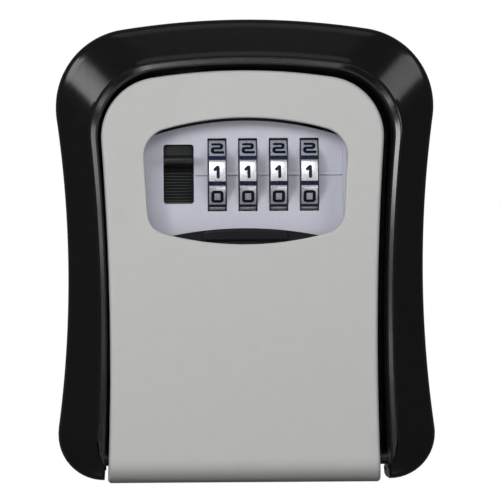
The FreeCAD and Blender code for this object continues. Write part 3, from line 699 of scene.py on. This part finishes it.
def add_block(bm, low, high, soft):
    """Block with bevelled edges."""
    made = bmesh.ops.create_cube(bm, size=1.0)["verts"]
    for vert in made:
        vert.co = Vector([(a + b) / 2 + c * (b - a) for a, b, c in zip(low, high, vert.co)])
    edges = list({edge for vert in made for edge in vert.link_edges})
    bmesh.ops.bevel(bm, geom=edges, offset=soft, segments=2, affect="EDGES", profile=0.5)


# ---------------------------------------------------------------- stage

FLOOR_DROP = 130.0         # room under the box for the open door
FLOOR_HALF = 900.0
FLOOR_FRONT = -900.0
FLOOR_BACK = 3000.0
WHITE = (1.0, 1.0, 1.0, 1.0)


def build_floor():
    """Pale floor, low enough for the open door, which the box doesn't mirror."""
    floor = Finish("floor_white", (0.86, 0.86, 0.86), 0.6)
    floor.shader.inputs["Emission Color"].default_value = WHITE
    floor.shader.inputs["Emission Strength"].default_value = 1.0
    z = cad_low.z / MM - FLOOR_DROP
    corners = [(-FLOOR_HALF, FLOOR_FRONT, z), (FLOOR_HALF, FLOOR_FRONT, z),
               (FLOOR_HALF, FLOOR_BACK, z), (-FLOOR_HALF, FLOOR_BACK, z)]
    bm = bmesh.new()
    bm.faces.new([bm.verts.new(c) for c in corners])
    plane = finish_mesh("floor", bm)
    plane.data.materials.append(floor.material)
    plane.visible_diffuse = False
    plane.visible_glossy = False


def build_world():
    """White behind the box, and only a dim light from all round on it."""
    world = bpy.data.worlds.new("studio")
    bpy.context.scene.world = world
    world.use_nodes = True
    nodes = world.node_tree.nodes
    links = world.node_tree.links
    background = nodes["Background"]
    background.inputs["Color"].default_value = WHITE
    background.inputs["Strength"].default_value = 0.08
    seen = nodes.new("ShaderNodeBackground")
    seen.inputs["Color"].default_value = WHITE
    seen.inputs["Strength"].default_value = 1.0
    path = nodes.new("ShaderNodeLightPath")
    mix = nodes.new("ShaderNodeMixShader")
    links.new(path.outputs["Is Camera Ray"], mix.inputs["Fac"])
    links.new(background.outputs["Background"], mix.inputs[1])
    links.new(seen.outputs["Background"], mix.inputs[2])
    links.new(mix.outputs["Shader"], nodes["World Output"].inputs["Surface"])


def soft_light(name, place_m, size, power):
    """Rectangular softbox aimed at the middle of the box."""
    data = bpy.data.lights.new(name, "AREA")
    data.shape = "RECTANGLE"
    data.size = size[0]
    data.size_y = size[1]
    data.energy = power
    lamp = bpy.data.objects.new(name, data)
    bpy.context.scene.collection.objects.link(lamp)
    lamp.location = place_m
    lamp.rotation_mode = "QUATERNION"
    lamp.rotation_quaternion = (-Vector(place_m)).to_track_quat("-Z", "Y")


def build_lights():
    """Softboxes round the front, placed so that the sides of the bevel mirror some of them."""
    soft_light("above", (-0.10, -0.52, 0.22), (0.40, 0.12), 1.15)
    soft_light("key", (0.42, -0.60, 0.10), (0.26, 0.26), 0.90)
    soft_light("front_fill", (0.0, -1.88, 0.44), (0.9, 0.5), 0.35)
    soft_light("overhead", (0.0, -0.10, 0.80), (0.50, 0.20), 0.12)
    soft_light("side_left", (-0.45, -0.61, 0.115), (0.16, 0.30), 1.6)
    soft_light("side_right", (0.77, -0.64, 0.16), (0.06, 0.26), 0.40)
    soft_light("low_left", (-0.42, -0.62, -0.25), (0.16, 0.18), 0.85)
    soft_light("low_right", (0.42, -0.62, -0.24), (0.14, 0.20), 0.32)
    soft_light("below", (0.14, -0.64, -0.50), (0.36, 0.08), 0.5)
    soft_light("corner_left", (-0.74, -0.31, 0.52), (0.30, 0.30), 1.2)
    soft_light("corner_right", (0.74, -0.31, 0.52), (0.30, 0.30), 0.6)


CAMERA_DISTANCE = 2.0      # metres, and angles in degrees
CAMERA_YAW = 1.4
CAMERA_ROLL = 0.37
CAMERA_SIDE = 0.00137
CAMERA_RISE = 0.00019
FRAME_HALF = 0.06310       # half-width of the view at the box


def place_camera():
    """Long lens, straight on, with the slight roll of the view."""
    data = bpy.data.cameras.new("camera")
    data.lens = data.sensor_width / 2 * CAMERA_DISTANCE / FRAME_HALF
    camera = bpy.data.objects.new("camera", data)
    bpy.context.scene.collection.objects.link(camera)
    yaw = math.radians(CAMERA_YAW)
    middle = (cad_low + cad_high) / 2
    camera.location = (middle.x + CAMERA_SIDE - CAMERA_DISTANCE * math.sin(yaw),
                       middle.y - CAMERA_DISTANCE * math.cos(yaw), middle.z + CAMERA_RISE)
    camera.rotation_euler = (math.radians(90.0), math.radians(CAMERA_ROLL), -yaw)
    bpy.context.scene.camera = camera


def build_stage():
    """Floor, surroundings, lights and camera, with plain colours in the picture."""
    settings = bpy.context.scene.view_settings
    settings.view_transform = "Standard"
    settings.look = "None"
    build_floor()
    build_world()
    build_lights()
    place_camera()


# ---------------------------------------------------------------- build

materials = make_materials()
dress_cad_nodes(materials)
build_surround(materials["surround"])
build_seal(materials["seal"])
build_dials(materials)
build_slider(materials["slider_plastic"])
build_stage()
